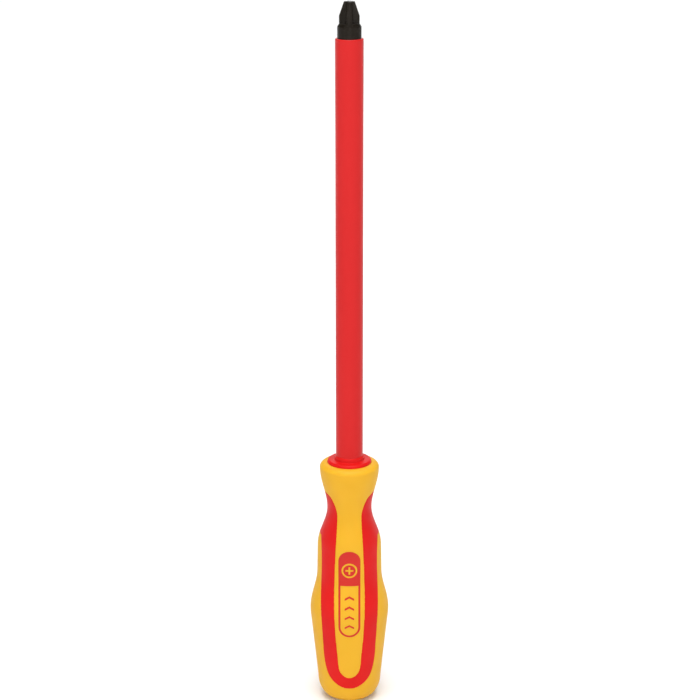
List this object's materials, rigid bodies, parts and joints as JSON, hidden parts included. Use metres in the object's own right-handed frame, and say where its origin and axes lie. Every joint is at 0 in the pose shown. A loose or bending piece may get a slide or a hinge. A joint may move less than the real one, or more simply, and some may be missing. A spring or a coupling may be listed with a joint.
{
  "type": "insulated screwdriver",
  "caption": "Insulated cross-tip screwdriver: dark steel tip, red sleeved shaft and a waisted two-colour grip with a finger guard.",
  "frame": {"origin": "centre of the flat butt face of the handle", "axes": "+Z along the shaft axis from the butt to the tip, -Y the front of the grip, +X its right side"},
  "size_m": [0.035, 0.0308, 0.313],
  "materials": {
    "tip_steel": "burnished black",
    "sleeve_red": "satin",
    "core_red": "fine matt",
    "grip_yellow": "fine matt",
    "badge_red": "smooth"
  },
  "bodies": {
    "root": {"blade": "tip_steel", "shaft_insulation": "sleeve_red", "handle_core": "core_red", "guard_shell": "grip_yellow", "butt_shell": "grip_yellow", "badge_front": "badge_red", "badge_back": "badge_red"}
  },
  "joints": []
}
